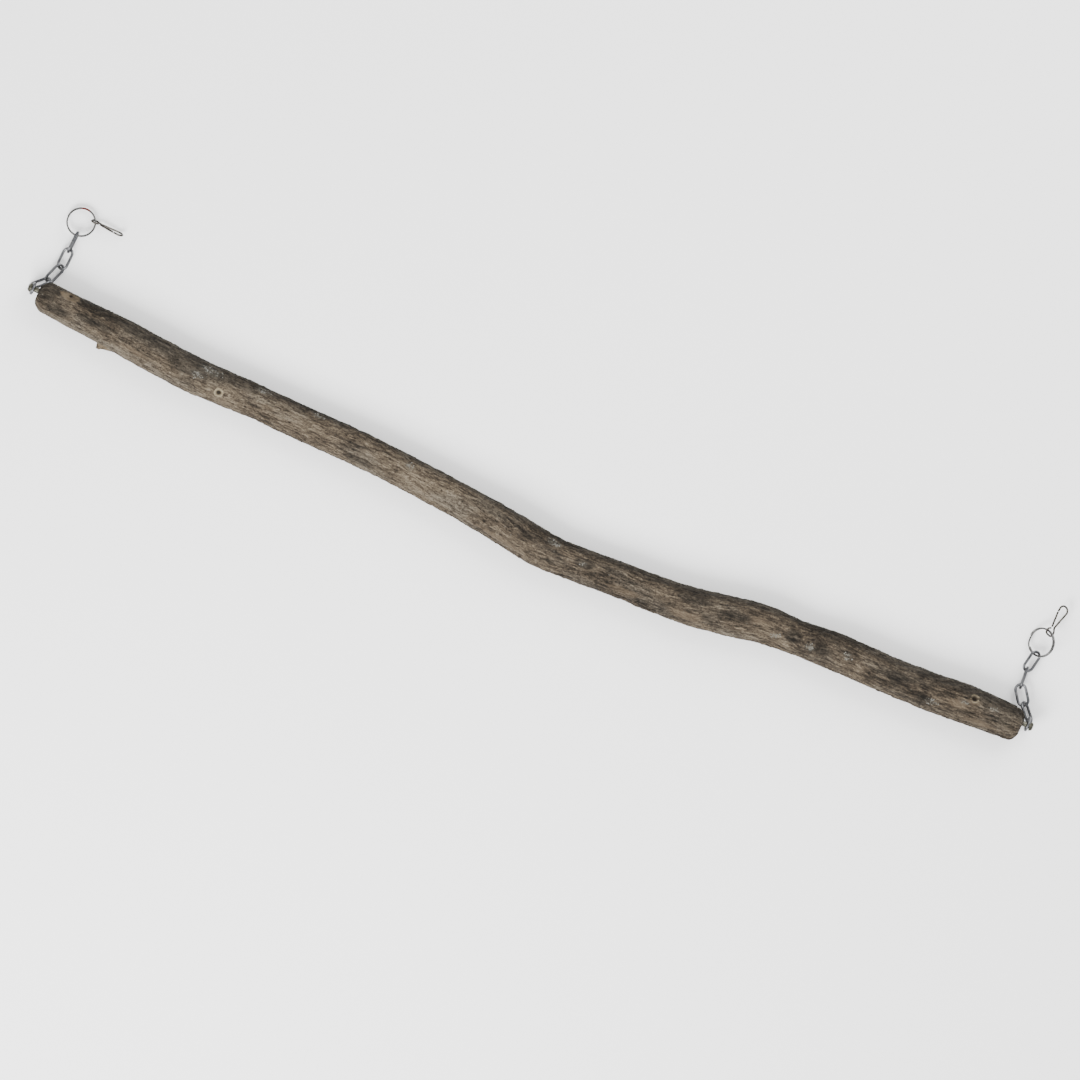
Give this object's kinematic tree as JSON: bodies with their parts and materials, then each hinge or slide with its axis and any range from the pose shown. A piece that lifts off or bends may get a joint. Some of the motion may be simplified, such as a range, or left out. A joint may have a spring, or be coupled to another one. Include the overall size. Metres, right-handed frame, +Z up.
{
  "type": "bird perch",
  "caption": "Crooked natural branch perch with the bark on, hung at each end by a wood screw, a short chain, a split ring and a bent-wire snap hook.",
  "frame": {"origin": "middle of the outline on the surface that the perch lies on", "axes": "+X along the branch from the left end to the right, +Z up, and both chains on the +Y side"},
  "size_m": [1.0225, 0.1648, 0.0391],
  "materials": {
    "bark": "rough weathered bark",
    "screw_zinc": "yellowish zinc plating",
    "link_steel": "dull zinc plating",
    "ring_steel": "satin nickel plating",
    "hook_steel": "satin nickel plating"
  },
  "bodies": {
    "branch": {"branch": "bark", "left_screw": "screw_zinc", "right_screw": "screw_zinc"},
    "left_link_1": {"left_link_1": "link_steel"},
    "left_link_2": {"left_link_2": "link_steel"},
    "left_link_3": {"left_link_3": "link_steel"},
    "left_link_4": {"left_link_4": "link_steel"},
    "left_link_5": {"left_link_5": "link_steel"},
    "left_split_ring": {"left_split_ring": "ring_steel"},
    "left_snap_hook": {"left_snap_hook": "hook_steel"},
    "left_hook_gate": {"left_hook_gate": "hook_steel"},
    "right_link_1": {"right_link_1": "link_steel"},
    "right_link_2": {"right_link_2": "link_steel"},
    "right_link_3": {"right_link_3": "link_steel"},
    "right_link_4": {"right_link_4": "link_steel"},
    "right_link_5": {"right_link_5": "link_steel"},
    "right_split_ring": {"right_split_ring": "ring_steel"},
    "right_snap_hook": {"right_snap_hook": "hook_steel"},
    "right_hook_gate": {"right_hook_gate": "hook_steel"}
  },
  "joints": [
    {"name": "left_link_1_swing", "type": "hinge", "parent": "branch", "child": "left_link_1", "pos_m": [-0.5054, -0.02766, 0.02007], "axis": [1, 0, 0], "range_deg": [-35, 70]},
    {"name": "left_link_2_swing", "type": "hinge", "parent": "left_link_1", "child": "left_link_2", "pos_m": [-0.50751, -0.02766, 0.00419], "axis": [0, 1, 0], "range_deg": [-10, 60]},
    {"name": "left_link_3_swing", "type": "hinge", "parent": "left_link_2", "child": "left_link_3", "pos_m": [-0.49591, -0.01366, 0.00671], "axis": [-0.3256, 0.4223, -0.846], "range_deg": [-50, 60]},
    {"name": "left_link_4_swing", "type": "hinge", "parent": "left_link_3", "child": "left_link_4", "pos_m": [-0.49036, 0.00266, 0.00574], "axis": [-0.6557, 0.2649, 0.707], "range_deg": [-60, 40]},
    {"name": "left_link_5_swing", "type": "hinge", "parent": "left_link_4", "child": "left_link_5", "pos_m": [-0.49012, 0.01985, 0.00713], "axis": [-0.9052, 0.0464, -0.4224], "range_deg": [-50, 50]},
    {"name": "left_split_ring_swing", "type": "hinge", "parent": "left_link_5", "child": "left_split_ring", "pos_m": [-0.48922, 0.03693, 0.00713], "axis": [-0.087, 0.0046, 0.9962], "range_deg": [-50, 50]},
    {"name": "left_snap_hook_swing", "type": "hinge", "parent": "left_split_ring", "child": "left_snap_hook", "pos_m": [-0.4785, 0.05256, 0.00477], "axis": [-0.4215, 0.8971, -0.1324], "range_deg": [-15, 60]},
    {"name": "left_hook_gate_spring", "type": "hinge", "parent": "left_snap_hook", "child": "left_hook_gate", "pos_m": [-0.47363, 0.05192, 0.00646], "axis": [0.0311, 0.961, 0.275], "range_deg": [0, 18], "stiffness_Nm_per_rad": 0.02},
    {"name": "right_link_1_swing", "type": "hinge", "parent": "branch", "child": "right_link_1", "pos_m": [0.5054, -0.03021, 0.02045], "axis": [1, 0, 0], "range_deg": [-4, 70]},
    {"name": "right_link_2_swing", "type": "hinge", "parent": "right_link_1", "child": "right_link_2", "pos_m": [0.50467, -0.02694, 0.0048], "axis": [0, 0.9788, 0.2049], "range_deg": [-60, 4]},
    {"name": "right_link_3_swing", "type": "hinge", "parent": "right_link_2", "child": "right_link_3", "pos_m": [0.49408, -0.01219, 0.00731], "axis": [-0.3542, -0.3985, 0.846], "range_deg": [-40, 50]},
    {"name": "right_link_4_swing", "type": "hinge", "parent": "right_link_3", "child": "right_link_4", "pos_m": [0.48407, 0.00169, 0.00764], "axis": [-0.7956, -0.5691, -0.2078], "range_deg": [-50, 50]},
    {"name": "right_link_5_swing", "type": "hinge", "parent": "right_link_4", "child": "right_link_5", "pos_m": [0.48451, 0.01923, 0.00733], "axis": [-0.0012, 0.0174, 0.9998], "range_deg": [-15, 25]},
    {"name": "right_split_ring_swing", "type": "hinge", "parent": "right_link_5", "child": "right_split_ring", "pos_m": [0.48759, 0.03592, 0.00844], "axis": [-0.84, 0.12, 0.5292], "range_deg": [-40, 20]},
    {"name": "right_snap_hook_swing", "type": "hinge", "parent": "right_split_ring", "child": "right_snap_hook", "pos_m": [0.49019, 0.05787, 0.01466], "axis": [-0.8019, 0.3822, -0.4592], "range_deg": [-40, 50]},
    {"name": "right_hook_gate_spring", "type": "hinge", "parent": "right_snap_hook", "child": "right_hook_gate", "pos_m": [0.48987, 0.06303, 0.01413], "axis": [-0.5288, -0.1195, -0.8403], "range_deg": [0, 18], "stiffness_Nm_per_rad": 0.02}
  ]
}
